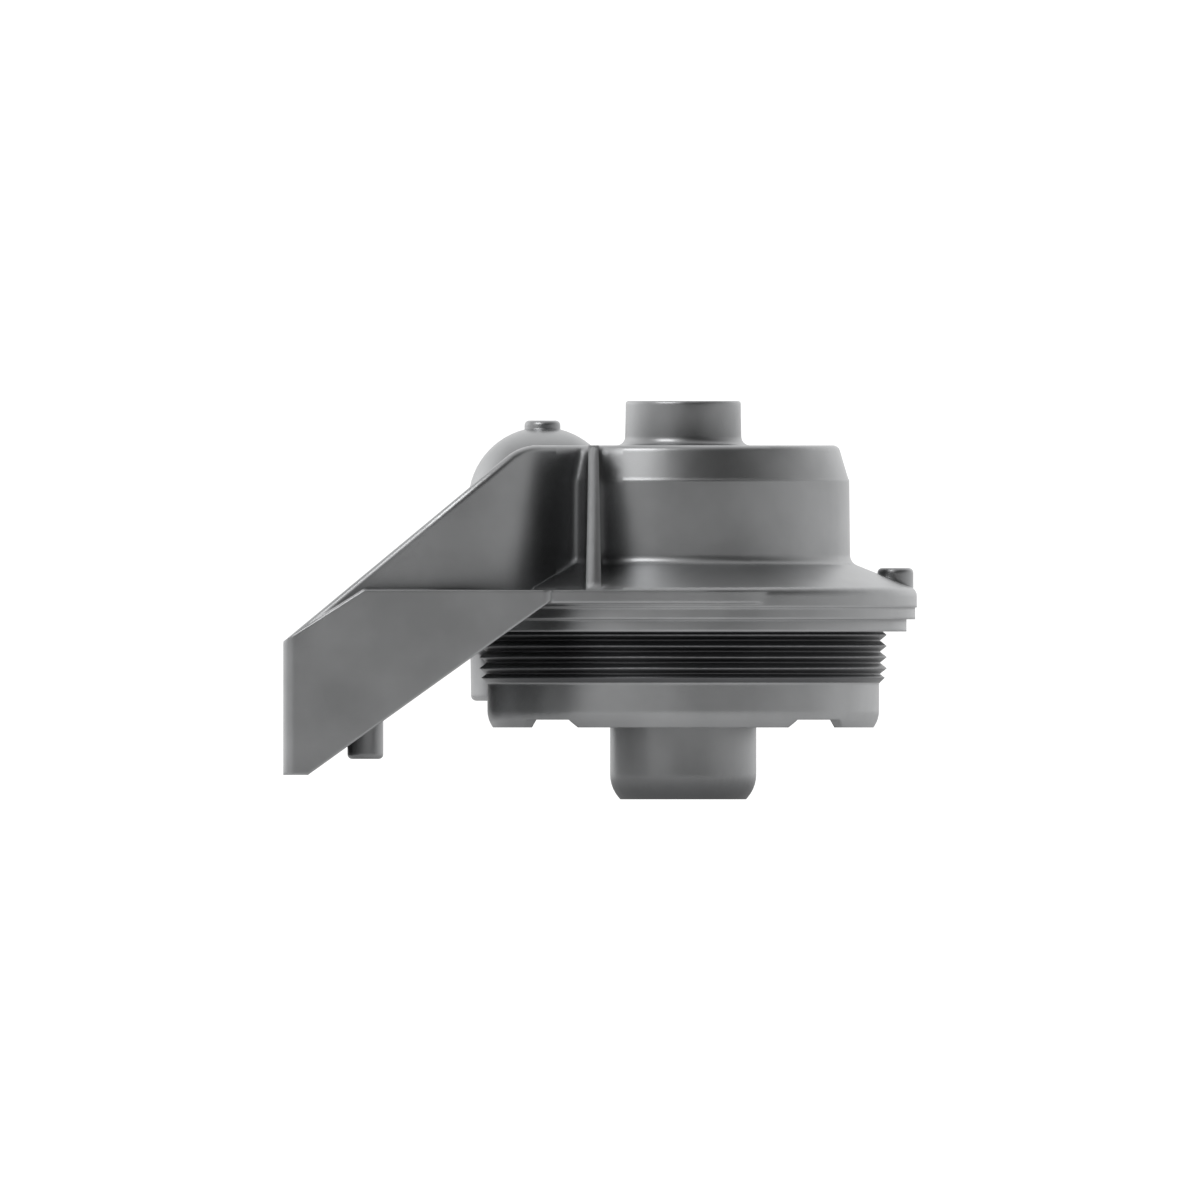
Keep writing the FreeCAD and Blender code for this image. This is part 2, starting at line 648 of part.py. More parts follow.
def valve_room(head):
    """The tower's inlet thread, the bore of the valve seat, the valve chamber, and the duct's bore."""
    view = outline(new_sketch(head, "room_view", "XZ_Plane", **tower_shift()), [
        (0, d.tower_foot - d.inlet_chamfer),
        (d.inlet_tap + d.inlet_chamfer * 2, d.tower_foot - d.inlet_chamfer),
        (d.inlet_tap, d.tower_foot + d.inlet_chamfer),
        (d.inlet_tap, SEAT_FOOT),
        (SEAT_RADIUS, SEAT_FOOT),
        (SEAT_RADIUS, SEAT_TOP),
        (ROOM_RADIUS, SEAT_TOP),
        (ROOM_RADIUS, ROOM_TOP),
        (PIN_RADIUS, ROOM_TOP),
        (PIN_RADIUS, ROOM_TOP - d.collar_height),
        (0, ROOM_TOP - d.collar_height),
    ])
    revolve(head, "valve_room", view, "Groove")
    length = TOWER_OUT - d.dome_radius + d.dome_wall + d.duct_break
    towards_dome(cylinder(head, "duct_bore", d.duct_bore, length, "Subtractive", "XZ_Plane",
                          y=d.duct_height, **tower_shift()))


def thread_grooves(head):
    """The bowl thread: one V-groove for each pitch between the first crest and the end."""
    root = d.thread_crest - d.thread_depth
    middle = -d.first_crest - d.thread_pitch / 2
    reach = d.thread_pitch / 2
    view = outline(new_sketch(head, "thread_view", "XZ_Plane"), [
        (root, middle),
        (d.thread_crest + d.thread_depth, middle - reach * 2),
        (d.thread_crest + d.thread_depth, middle + reach * 2),
    ])
    groove = revolve(head, "thread_groove", view, "Groove")
    pattern = head.newObject("PartDesign::LinearPattern", "bowl_thread")
    pattern.Originals = [groove]
    pattern.Direction = (origin_plane(head, "Z_Axis"), [""])
    pattern.Reversed = True
    pattern.Mode = "Spacing"
    bind(pattern, Offset=d.thread_pitch, Occurrences=d.thread_turns)
    head.Tip = pattern


def notches(head):
    """The key notches in the skirt's rim, evenly spaced."""
    start = SKIRT_BORE - d.skirt_wall
    sketch = turn(new_sketch(head, "notch_view", "XZ_Plane"), Vector(0, 1, 0), d.notch_start)
    bind(sketch, AttachmentOffset__Base__x=start * sine(d.notch_start),
         AttachmentOffset__Base__z=start * cosine(d.notch_start))
    view = outline(sketch, [
        (-d.notch_width / 2, d.notch_depth - d.skirt_drop),
        (d.notch_width / 2, d.notch_depth - d.skirt_drop),
        (d.notch_width / 2 + d.notch_depth * 2, -d.skirt_drop - d.notch_depth),
        (-d.notch_width / 2 - d.notch_depth * 2, -d.skirt_drop - d.notch_depth),
    ])
    notch = pocket(head, "notch", view, SKIRT_RADIUS - start + d.notch_depth, reversed_way=True)
    ring_pattern(head, notch, d.notch_count)


def bolt_holes(head):
    """Two bolt holes through the bolted plate, with pads for the bolt heads inside the bracket."""
    inner = d.reach - d.plate_wall
    height = (d.plate_top + d.plate_foot) / 2
    centres = [(-d.bolt_across / 2, height), (d.bolt_across / 2, height)]
    pads = circles(new_sketch(head, "bolt_pad_view", "YZ_Plane", z=-inner), centres, d.bolt_pad)
    pad(head, "bolt_pads", pads, d.bolt_pad_rise)
    holes = circles(new_sketch(head, "bolt_view", "YZ_Plane", z=-d.reach), centres, d.bolt_hole)
    pocket(head, "bolt_holes", holes, d.plate_wall + d.bolt_pad_rise * 2, reversed_way=True)


def head_casting():
    head = new_body("head_casting")
    bracket_block(head)
    hood(head)
    bracket_hollow(head)
    ribs(head)
    turned_form(head)
    tower(head)
    bosses(head)
    chamber(head)
    valve_room(head)
    thread_grooves(head)
    notches(head)
    bolt_holes(head)
    return head


def on_tower(body, height):
    """Places a piece of the check valve on the tower's axis."""
    return bind(body, Placement__Base__x=-TOWER_X, Placement__Base__y=TOWER_Y, Placement__Base__z=height)


def valve_seat():
    """The seat: a ring pressed into its bore from below, flat on top where the poppet closes."""
    body = new_body("valve_seat")
    view = outline(new_sketch(body, "seat_view", "XZ_Plane"), [
        (THROAT, d.seat_chamfer),
        (THROAT + d.seat_chamfer, 0),
        (SEAT_RADIUS - d.seat_chamfer, 0),
        (SEAT_RADIUS, d.seat_chamfer),
        (SEAT_RADIUS, d.seat_length),
        (THROAT, d.seat_length),
    ])
    revolve(body, "seat", view)
    return on_tower(body, SEAT_FOOT)


def valve_poppet():
    """The poppet: a flat disc with guide wings in the seat's throat and a collar inside the spring."""
    body = new_body("valve_poppet")
    disc = SEAT_RADIUS - d.disc_clearance
    wing_reach = THROAT - d.guide_clearance
    view = outline(new_sketch(body, "poppet_view", "XZ_Plane"), [
        (0, -d.wing_length),
        (d.hub_radius, -d.wing_length),
        (d.hub_radius, 0),
        (disc, 0),
        (disc, d.disc_thickness),
        (COLLAR_RADIUS, d.disc_thickness),
        (COLLAR_RADIUS, d.disc_thickness + d.collar_height),
        (0, d.disc_thickness + d.collar_height),
    ])
    revolve(body, "poppet", view)
    wing_view = outline(new_sketch(body, "wing_view", "XZ_Plane"), [
        (0, -d.wing_length),
        (wing_reach, -d.wing_length),
        (wing_reach, d.disc_thickness / 2),
        (0, d.disc_thickness / 2),
    ])
    wing = pad(body, "wing", wing_view, d.wing_wall, both_ways=True)
    ring_pattern(body, wing, d.wing_count)
    return on_tower(body, SEAT_TOP + d.disc_gap)


def valve_spring():
    """The spring between the poppet's disc and the chamber's roof: a round wire in short straight runs."""
    foot = SEAT_TOP + d.disc_gap * 2 + d.disc_thickness
    wire = number(d.spring_wire)
    length = number(ROOM_TOP - foot - d.disc_gap) - 2 * wire
    runs = round(number(d.spring_turns) * number(d.spring_runs))
    points = []
    for index in range(runs + 1):
        angle = 2 * math.pi * index / number(d.spring_runs)
        across = number(d.spring_radius) * math.cos(angle)
        along = number(d.spring_radius) * math.sin(angle)
        points.append(Vector(across, along, wire + length * index / runs))
    section = Part.Wire([Part.Circle(points[0], points[1] - points[0], wire).toShape()])
    spring = doc.addObject("Part::Feature", "valve_spring")
    spring.Label = "valve_spring"
    spring.Shape = Part.makePolygon(points).makePipeShell([section], True, False, 1)
    return on_tower(spring, foot)


def check(parts):
    """Stops with a message if any feature failed or a part is empty, broken or in several pieces."""
    for thing in doc.Objects:
        if {"Invalid", "Error"} & set(thing.State):
            raise RuntimeError(f"{thing.Name} failed: {thing.State}")
    for part in parts:
        if part.Shape.isNull() or not part.Shape.isValid():
            raise RuntimeError(f"{part.Label} has no valid shape")


parts = [head_casting(), valve_seat(), valve_poppet(), valve_spring()]
doc.recompute()
check(parts)
os.makedirs("parts", exist_ok=True)
for part in parts:
    part.Shape.exportStep(f"parts/{part.Label}.step")
    size = part.Shape.BoundBox
    print(part.Label, len(part.Shape.Solids), round(part.Shape.Volume), round(size.XLength, 2),
          round(size.YLength, 2), round(size.ZLength, 2))
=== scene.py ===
# %% [markdown]
# # A cast filter head
# The real object is the head of a hydraulic filter: one aluminium casting that bolts to a wall by its
# bracket, with a turned thread for the bowl below and a tower with a check valve at the back. The frame
# holds every solid at its real size. This file gives those solids their surfaces, adds what is too fine
# for the solids, and lights them. The box of the solids is kept.

# %% Load the frame
import math

import bpy
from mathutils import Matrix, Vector


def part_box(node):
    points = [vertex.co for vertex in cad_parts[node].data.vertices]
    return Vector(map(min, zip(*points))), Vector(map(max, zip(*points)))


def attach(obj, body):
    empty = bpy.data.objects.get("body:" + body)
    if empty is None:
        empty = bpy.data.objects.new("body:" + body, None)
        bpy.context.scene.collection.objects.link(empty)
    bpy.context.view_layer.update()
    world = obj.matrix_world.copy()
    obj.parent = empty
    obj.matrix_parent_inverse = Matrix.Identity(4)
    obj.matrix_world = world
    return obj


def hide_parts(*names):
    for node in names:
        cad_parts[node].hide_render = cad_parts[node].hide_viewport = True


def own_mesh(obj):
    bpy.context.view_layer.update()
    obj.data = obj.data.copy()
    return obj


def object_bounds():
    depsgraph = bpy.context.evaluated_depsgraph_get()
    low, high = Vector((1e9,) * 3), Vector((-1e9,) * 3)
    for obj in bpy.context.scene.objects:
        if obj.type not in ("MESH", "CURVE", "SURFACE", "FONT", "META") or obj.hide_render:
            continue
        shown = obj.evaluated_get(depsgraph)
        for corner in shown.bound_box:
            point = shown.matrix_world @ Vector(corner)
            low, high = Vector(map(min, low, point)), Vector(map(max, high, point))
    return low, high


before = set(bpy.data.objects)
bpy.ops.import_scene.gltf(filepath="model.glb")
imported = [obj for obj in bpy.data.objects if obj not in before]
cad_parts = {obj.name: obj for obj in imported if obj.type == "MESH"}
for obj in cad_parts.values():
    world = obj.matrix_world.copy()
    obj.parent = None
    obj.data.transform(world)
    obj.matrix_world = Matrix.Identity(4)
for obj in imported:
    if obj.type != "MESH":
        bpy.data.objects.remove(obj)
cad_low, cad_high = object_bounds()
MM = 0.001
print("nodes:", sorted(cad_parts))
print("size in mm:", [round(side / MM, 1) for side in cad_high - cad_low])

# %% [markdown]
# ## The camera
# The picture is a straight side view with no perspective at all: upright edges stay upright, and circles
# seen from the side are straight lines. An orthographic camera does that. Its scale is the width of the
# picture in metres, and it looks along +Y.

# %% Camera
PICTURE_WIDTH = 0.324
PICTURE_CENTRE = Vector((-0.02246, 0, 0.00853))
CAMERA_DISTANCE = 1.0

camera = bpy.data.objects.new("camera", bpy.data.cameras.new("camera"))
bpy.context.scene.collection.objects.link(camera)
camera.data.type = "ORTHO"
camera.data.ortho_scale = PICTURE_WIDTH
camera.location = PICTURE_CENTRE - Vector((0, CAMERA_DISTANCE, 0))
camera.rotation_euler = (math.radians(90), 0, 0)
bpy.context.scene.camera = camera
print("picture is", PICTURE_WIDTH / MM, "mm wide")

# %% [markdown]
# ## Colours and nodes
# Colours are written as a designer writes them, in sRGB hex, and one function turns them into the linear
# values that the renderer mixes. A material is a tree of nodes. One small function adds a node, sets it up
# and links it, so that each line of a material reads as one step.


# %% Helpers for materials
def linear(code):
    """A colour written as #rrggbb, as linear red, green, blue and alpha."""
    shares = [int(code[place:place + 2], 16) / 255 for place in (1, 3, 5)]
    return [share / 12.92 if share < 0.04045 else ((share + 0.055) / 1.055) ** 2.4
            for share in shares] + [1]


def add(tree, kind, settings=None, links=None):
    """Adds a node; settings and links name a socket, by its number where names repeat, or a property."""
    node = tree.nodes.new(f"ShaderNode{kind}")
    for name, value in (settings or {}).items():
        if name == "stops":
            for stop, (position, colour) in zip(node.color_ramp.elements, value):
                stop.position = position
                stop.color = linear(colour)
        elif isinstance(name, int) or name in node.inputs:
            node.inputs[name].default_value = value
        else:
            setattr(node, name, value)
    for name, source in (links or {}).items():
        tree.links.new(source, node.inputs[name])
    return node


def new_material(name, **settings):
    """A material with a Principled shader, and the tree and shader to add to."""
    material = bpy.data.materials.new(name)
    material.use_nodes = True
    shader = material.node_tree.nodes["Principled BSDF"]
    for socket, value in settings.items():
        shader.inputs[socket.replace("_", " ")].default_value = value
    return material, material.node_tree, shader


print("mid grey #808080 is", round(linear("#808080")[0], 3), "in linear light")

# %% [markdown]
# ## Cast aluminium: the skin
# The head is gravity-cast aluminium, shot-blasted after casting. Blasting leaves a matt, even satin skin:
# a metal whose reflections are spread wide. From a step away it is faintly cloudy, because the metal
# cooled unevenly, so a noise of that size mixes two greys. Shade is painted into corners and recesses:
# Ambient Occlusion finds these places at any point of the surface and from any side, and its grey is
# multiplied with the cloudy one, darkening the colour where the light would be shaded.

# %% Cloudy skin with painted shade in corners
CLOUD = 18 * MM
# How far Ambient Occlusion looks for other surfaces; within that reach, shade is painted into the colour.
PAINTED_SHADE_REACH = 22 * MM
# A Mix node holds sockets for numbers, vectors and colours, so those for colours go by their numbers.
MIX_SHARE, MIX_FIRST, MIX_SECOND, MIX_RESULT = 0, 6, 7, 2


def skin_with_painted_shade(tree, clouds):
    """The cloudy grey of the blasted skin, with painted shade in corners and recesses."""
    tone = add(tree, "ValToRGB", {"stops": ((0.35, "#b4b5b6"), (0.65, "#c0c1c2"))}, {"Fac": clouds})
    # Painted shade: Ambient Occlusion darkens the colour in corners and recesses, where the light would be
    # shaded.
    open_sky = add(tree, "AmbientOcclusion", {"Distance": PAINTED_SHADE_REACH, "samples": 8})
    corners = add(tree, "ValToRGB", {"stops": ((0.30, "#b9b9ba"), (0.80, "#ffffff"))},
                  {"Fac": open_sky.outputs["AO"]})
    skin = add(tree, "Mix", {"data_type": "RGBA", "blend_type": "MULTIPLY", MIX_SHARE: 1.0},
               {MIX_FIRST: tone.outputs["Color"], MIX_SECOND: corners.outputs["Color"]})
    return skin.outputs[MIX_RESULT]


print("clouds of", round(CLOUD / MM), "mm, and corners dull within", round(PAINTED_SHADE_REACH / MM), "mm")

# %% [markdown]
# ## Cast aluminium: painted shade in the thread
# The thread for the bowl is cut on a lathe. Shade is painted into it: its grooves are coloured darker than
# the blasted skin, where a deep thread lies in its own shade. They are found by their place: a point is in
# them when its distance from the axis lies between that of the roots and that of the crests, and its
# height between the two ends of the thread. A Compare node gives 1 where a value is that near to another.

# %% Painted shade in the thread
THREAD_ROOT, THREAD_CREST = 53.1 * MM, 54.9 * MM
THREAD_LOW, THREAD_HIGH = -13.9 * MM, -0.05 * MM


def zone(tree, limits):
    """1 where each value lies between its two limits, and 0 elsewhere."""
    together = None
    for value, low, high in limits:
        inside = add(tree, "Math", {"operation": "COMPARE", 1: (low + high) / 2, 2: (high - low) / 2},
                     {0: value}).outputs["Value"]
        if together is not None:
            inside = add(tree, "Math", {"operation": "MULTIPLY"}, {0: together, 1: inside}).outputs["Value"]
        together = inside
    return together


def thread_with_painted_shade(tree, parts, skin):
    """The skin's colour, darker in the grooves of the thread: painted shade."""
    level = add(tree, "CombineXYZ", links={"X": parts["X"], "Y": parts["Y"]})
    radius = add(tree, "VectorMath", {"operation": "LENGTH"}, {0: level.outputs["Vector"]})
    groove = zone(tree, ((radius.outputs["Value"], THREAD_ROOT, THREAD_CREST),
                         (parts["Z"], THREAD_LOW, THREAD_HIGH)))
    # Painted shade: the colour in the thread's grooves is multiplied by a darker grey.
    groove_shade = add(tree, "Mix", {"data_type": "RGBA", "blend_type": "MULTIPLY", MIX_SECOND: linear("#a4a4a5")},
                {MIX_SHARE: groove, MIX_FIRST: skin})
    return groove_shade.outputs[MIX_RESULT]


print("oiled from", THREAD_LOW / MM, "to", THREAD_HIGH / MM, "mm")

# %% [markdown]
# ## Cast aluminium: edges and grain
# Blasting breaks every edge by about a millimetre, which shows as a thin bright line. The Bevel node
# rounds the shading there and leaves the mesh as it is. The gusset on the front stands in larger
# roundings, so the radius grows in a zone around it, which reaches past the head in front and above.
# Close up, the shot leaves a fine grain, drawn as a bump of a few hundredths of a millimetre.

# %% Broken edges and grain
BROKEN_EDGE = 1.0 * MM
GUSSET_ROUNDING = 3.5 * MM
GUSSET_LEFT, GUSSET_RIGHT = -34.3 * MM, -16.3 * MM
GUSSET_FRONT, GUSSET_REAR = -70 * MM, -20 * MM
GUSSET_FOOT, GUSSET_TOP = 11.4 * MM, 70 * MM
GRAIN, GRAIN_DEPTH = 0.7 * MM, 0.03 * MM


def surface(tree, place, parts):
    """The direction of the surface, with its edges rounded and its grain."""
    gusset = zone(tree, ((parts["X"], GUSSET_LEFT, GUSSET_RIGHT), (parts["Y"], GUSSET_FRONT, GUSSET_REAR),
                         (parts["Z"], GUSSET_FOOT, GUSSET_TOP)))
    radius = add(tree, "Math", {"operation": "MULTIPLY_ADD", 1: GUSSET_ROUNDING - BROKEN_EDGE,
                                2: BROKEN_EDGE}, {0: gusset})
    edges = add(tree, "Bevel", {"samples": 8}, {"Radius": radius.outputs["Value"]})
    grain = add(tree, "TexNoise", {"Scale": 1 / GRAIN, "Detail": 2.0}, {"Vector": place})
    skin = add(tree, "Bump", {"Strength": 0.35, "Distance": GRAIN_DEPTH},
               {"Height": grain.outputs["Fac"], "Normal": edges.outputs["Normal"]})
    return skin.outputs["Normal"]


print("edges broken by", BROKEN_EDGE / MM, "mm, beside the gusset by", GUSSET_ROUNDING / MM, "mm")

# %% [markdown]
# ## Cast aluminium: the whole
# The skin, the thread and the edges come together in one metal. Its roughness follows the same clouds as
# its colour, so the paler patches are also a little duller, as blasted metal is. Everything is read in
# Object coordinates, so the finish stays in its place on the head from any side.

# %% Cast aluminium
SATIN, DULL = 0.34, 0.42


def cast_aluminium():
    material, tree, shader = new_material("blasted_cast_aluminium", Metallic=1.0)
    place = add(tree, "TexCoord").outputs["Object"]
    parts = add(tree, "SeparateXYZ", links={"Vector": place}).outputs
    clouds = add(tree, "TexNoise", {"Scale": 1 / CLOUD, "Detail": 3.0}, {"Vector": place}).outputs["Fac"]
    shine = add(tree, "MapRange", {"To Min": SATIN, "To Max": DULL}, {"Value": clouds})
    colour = thread_with_painted_shade(tree, parts, skin_with_painted_shade(tree, clouds))
    tree.links.new(colour, shader.inputs["Base Color"])
    tree.links.new(shine.outputs["Result"], shader.inputs["Roughness"])
    tree.links.new(surface(tree, place, parts), shader.inputs["Normal"])
    return material


CAST = cast_aluminium()
print("cast metal nodes:", len(CAST.node_tree.nodes))

# %% [markdown]
# ## Working on one piece
# An operator works on everything that is selected, and loading the frame leaves its nodes selected. So
# all is deselected first, and each later step selects just the piece that it works on. A modifier is added
# with its settings and applied at once, so that the mesh itself has the shape.


# %% Helpers for pieces
def only(piece):
    """Selects one piece and makes it the active one."""
    bpy.ops.object.select_all(action="DESELECT")
    piece.select_set(True)
    bpy.context.view_layer.objects.active = piece


def finish_with(piece, kind, **settings):
    """Adds a modifier with its settings and applies it to the mesh."""
    only(piece)
    modifier = piece.modifiers.new(kind.lower(), kind)
    for name, value in settings.items():
        setattr(modifier, name, value)
    bpy.ops.object.modifier_apply(modifier=modifier.name)


bpy.ops.object.select_all(action="DESELECT")
print("selected now:", len(bpy.context.selected_objects))

# %% [markdown]
# ## The casting's own skin
# The frame shows solids as loose triangles. A copy with its doubles merged can be shaded smooth, so that
# the turned and rounded faces read as round, and it stands for the solid in the picture.

# %% A smooth copy of the casting
DOUBLE = 0.002 * MM


def smooth_copy(node, name, body):
    """A merged copy of a CAD node that can be shaded smooth, and that stands for the node."""
    piece = bpy.data.objects.new(name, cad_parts[node].data.copy())
    bpy.context.scene.collection.objects.link(piece)
    only(piece)
    bpy.ops.mesh.customdata_custom_splitnormals_clear()
    bpy.ops.object.mode_set(mode="EDIT")
    bpy.ops.mesh.select_all(action="SELECT")
    bpy.ops.mesh.remove_doubles(threshold=DOUBLE)
    bpy.ops.object.mode_set(mode="OBJECT")
    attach(piece, body)
    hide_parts(node)
    return piece


head = smooth_copy("head_casting", "cast_head", "head")
head.data.materials.clear()
head.data.materials.append(CAST)
print("casting has", len(head.data.polygons), "faces")

# %% [markdown]
# ## Threads in the two ports
# The outlet on top and the inlet under the tower are tapped holes, and the solids have them plain, at the
# width of the drill. A tap cuts one groove of V-section along a helix. The same is done here: a small
# triangle is drawn beside the hole, the Screw modifier winds it up, and a Boolean takes it away from the
# casting. The cut starts outside the mouth, so that the chamfer is notched as a real one is.

# %% A tap
STEPS_PER_TURN = 48
FLANK = math.tan(math.radians(30))
# The triangle starts this far inside the drilled hole, so that no skin is left at its wall.
AIR = 0.3 * MM


def tap(piece, name, x, y, mouth, depth, drill, crest, pitch):
    """Cuts a thread of 60 degrees into a hole; depth counts from the mouth and is negative upwards."""
    away = 1 if depth > 0 else -1
    start, length = mouth + away * pitch, abs(depth)
    inner, half = drill - AIR, (crest - drill + AIR) * FLANK
    bpy.ops.object.select_all(action="DESELECT")
    bpy.ops.mesh.primitive_circle_add(vertices=3, radius=half, fill_type="NOTHING", location=(x, y, 0))
    cutter = bpy.context.object
    cutter.name = name
    corners = ((inner, -half), (crest, 0), (inner, half))
    for corner, (across, up) in zip(cutter.data.vertices, corners):
        corner.co = (across, 0, start + up)
    finish_with(cutter, "SCREW", axis="Z", screw_offset=-away * pitch, iterations=round(length / pitch),
                steps=STEPS_PER_TURN, render_steps=STEPS_PER_TURN)
    bpy.ops.object.mode_set(mode="EDIT")
    bpy.ops.mesh.select_all(action="SELECT")
    bpy.ops.mesh.remove_doubles(threshold=DOUBLE)
    bpy.ops.mesh.fill_holes(sides=len(corners))
    bpy.ops.mesh.normals_make_consistent(inside=False)
    bpy.ops.object.mode_set(mode="OBJECT")
    finish_with(piece, "BOOLEAN", operation="DIFFERENCE", solver="EXACT", object=cutter)
    bpy.data.objects.remove(cutter)
    print(name, "leaves", len(piece.data.polygons), "faces")


print("each turn of a thread has", STEPS_PER_TURN, "steps")

# %% [markdown]
# ## Tapping the ports
# The outlet takes a union with an M22 x 1.5 thread, and the inlet one with M27 x 2. Each thread needs its
# axis, the height of its mouth, its depth, the radius of the drill, the radius of the crests and the
# pitch. The tower's axis is that of the valve seat, which the frame gives.

# %% Threads in the two ports
seat_low, seat_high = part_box("valve_seat")
tower = (seat_low + seat_high) / 2
TOWER_FOOT = -18.7 * MM
PORTS = {
    "outlet_thread": {"x": 0, "y": 0, "mouth": cad_high.z, "depth": 15 * MM,
                      "drill": 10.2 * MM, "crest": 11.15 * MM, "pitch": 1.5 * MM},
    "inlet_thread": {"x": tower.x, "y": tower.y, "mouth": TOWER_FOOT, "depth": -14 * MM,
                     "drill": 12.4 * MM, "crest": 13.65 * MM, "pitch": 2 * MM},
}
for name, sizes in PORTS.items():
    tap(head, name, **sizes)

# %% [markdown]
# ## Shading the casting
# Where two faces meet at more than the angle, the edge stays sharp, as on the machined rings. Everywhere
# else the shading runs on. Weighted Normal lets the large faces keep their own direction, so that only
# the small roundings between them catch the light.

# %% Smooth shading
SMOOTH_ANGLE = math.radians(28)

only(head)
bpy.ops.object.shade_smooth_by_angle(angle=SMOOTH_ANGLE)
finish_with(head, "WEIGHTED_NORMAL", keep_sharp=True)
print("sharp edges:", sum(edge.use_edge_sharp for edge in head.data.edges))

# %% [markdown]
# ## The check valve
# Inside the tower, a brass seat is pressed in from below, and a moulded acetal poppet lies on it under a
# spring. The solids of the seat and the poppet are right as they are and only need their finish. Turned
# brass is a warm yellow metal, a little uneven in tone, and the lathe leaves fine rings around it, drawn
# here as bands across the axis.

# %% Turned brass
BRASS_STAIN = 4 * MM
LATHE_RINGS = 6 * MM
RING_DEPTH = 0.02 * MM


def turned_brass():
    material, tree, shader = new_material("turned_brass", Metallic=1.0, Roughness=0.28)
    place = add(tree, "TexCoord").outputs["Object"]
    stain = add(tree, "TexNoise", {"Scale": 1 / BRASS_STAIN, "Detail": 2.0}, {"Vector": place})
    tone = add(tree, "ValToRGB", {"stops": ((0, "#b08d4b"), (1, "#c9a860"))}, {"Fac": stain.outputs["Fac"]})
    tree.links.new(tone.outputs["Color"], shader.inputs["Base Color"])
    rings = add(tree, "TexWave", {"Scale": 1 / LATHE_RINGS, "bands_direction": "Z"}, {"Vector": place})
    skin = add(tree, "Bump", {"Strength": 0.2, "Distance": RING_DEPTH}, {"Height": rings.outputs["Fac"]})
    tree.links.new(skin.outputs["Normal"], shader.inputs["Normal"])
    return material


BRASS = turned_brass()
print("brass nodes:", len(BRASS.node_tree.nodes))

# %% [markdown]
# ## Moulded acetal
# Acetal is a milky, slightly warm plastic with a soft, waxy gloss. Where the melt flowed together in the
# mould, its white is a touch uneven, which a fine noise between two whites shows.

# %% Moulded acetal
FLOW_MARKS = 5 * MM


def moulded_acetal():
    material, tree, shader = new_material("moulded_acetal", Roughness=0.38, IOR=1.48)
    place = add(tree, "TexCoord").outputs["Object"]
    flow = add(tree, "TexNoise", {"Scale": 1 / FLOW_MARKS, "Detail": 2.0}, {"Vector": place})
    tone = add(tree, "ValToRGB", {"stops": ((0, "#dcdad0"), (1, "#e8e6de"))}, {"Fac": flow.outputs["Fac"]})
    tree.links.new(tone.outputs["Color"], shader.inputs["Base Color"])
    return material


ACETAL = moulded_acetal()
for node, material, slot in (("valve_seat", BRASS, "turned_brass"),
                             ("valve_poppet", ACETAL, "moulded_acetal")):
    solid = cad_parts[node]
    solid.data.materials.clear()
    solid.data.materials.append(material)
    print(node, "is", material.name)

# %% [markdown]
# ## The spring's wire
# The spring is made of steel wire that was drawn through a die. Drawing leaves it bright grey, with a
# sheen that varies a little along it, so its roughness follows a fine noise and its colour stays plain.

# %% Drawn steel
DRAW_MARKS = 2 * MM


def drawn_steel():
    material, tree, shader = new_material("drawn_spring_steel", Metallic=1.0, Base_Color=linear("#a6a8aa"))
    place = add(tree, "TexCoord").outputs["Object"]
    draw = add(tree, "TexNoise", {"Scale": 1 / DRAW_MARKS, "Detail": 2.0}, {"Vector": place})
    shine = add(tree, "MapRange", {"To Min": 0.25, "To Max": 0.4}, {"Value": draw.outputs["Fac"]})
    tree.links.new(shine.outputs["Result"], shader.inputs["Roughness"])
    return material


STEEL = drawn_steel()
print("wire nodes:", len(STEEL.node_tree.nodes))

# %% [markdown]
# ## The spring's coil
# The solid of the spring is a wire in straight runs, and a real one is coiled smoothly. A ring the size of
# the wire is wound up with the Screw modifier, to the same height and diameter as the solid. It is wound
# around the origin, where the modifier has its axis, and then moved to the tower in edit mode, so that its
# place is in its mesh.

# %% The coil
WIRE = 0.7 * MM
TURNS = 5
WIRE_SIDES = 12
COIL_STEPS = 40
WIRE_ANGLE = math.radians(50)

spring_low, spring_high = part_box("valve_spring")
coil = (spring_high.x - spring_low.x) / 2 - WIRE
height = spring_high.z - spring_low.z
bpy.ops.object.select_all(action="DESELECT")
bpy.ops.mesh.primitive_circle_add(vertices=WIRE_SIDES, radius=WIRE, rotation=(math.radians(90), 0, 0),
                                  location=(coil, 0, spring_low.z + WIRE))
spring = bpy.context.object
spring.name = "closing_spring"
bpy.ops.object.transform_apply(location=True, rotation=True, scale=True)
finish_with(spring, "SCREW", axis="Z", screw_offset=(height - 2 * WIRE) / TURNS, iterations=TURNS,
            steps=COIL_STEPS, render_steps=COIL_STEPS)
bpy.ops.object.mode_set(mode="EDIT")
bpy.ops.mesh.select_all(action="SELECT")
bpy.ops.mesh.remove_doubles(threshold=DOUBLE)
bpy.ops.mesh.fill_holes(sides=WIRE_SIDES)
bpy.ops.mesh.normals_make_consistent(inside=False)
bpy.ops.transform.translate(value=(tower.x, tower.y, 0))
bpy.ops.object.mode_set(mode="OBJECT")
bpy.ops.object.shade_smooth_by_angle(angle=WIRE_ANGLE)
spring.data.materials.append(STEEL)
print("spring is", round(height / MM, 1), "mm high, with", TURNS, "turns")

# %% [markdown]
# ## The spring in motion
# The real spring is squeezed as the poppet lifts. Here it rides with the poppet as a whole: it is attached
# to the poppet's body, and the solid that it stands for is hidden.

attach(spring, "poppet")
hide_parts("valve_spring")
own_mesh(spring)

# %% [markdown]
# ## The key lamp
# One soft lamp from the upper left shapes the head and gives it its shadow on the floor. It is weak,
# because most of the light comes from the room. A place in the room is given by two angles: the azimuth,
# which is 0 on the camera's side and 90 on the right, and the elevation.

# %% The key lamp
KEY_SIZE, KEY_POWER, KEY_DISTANCE = 0.5, 3, 1.2


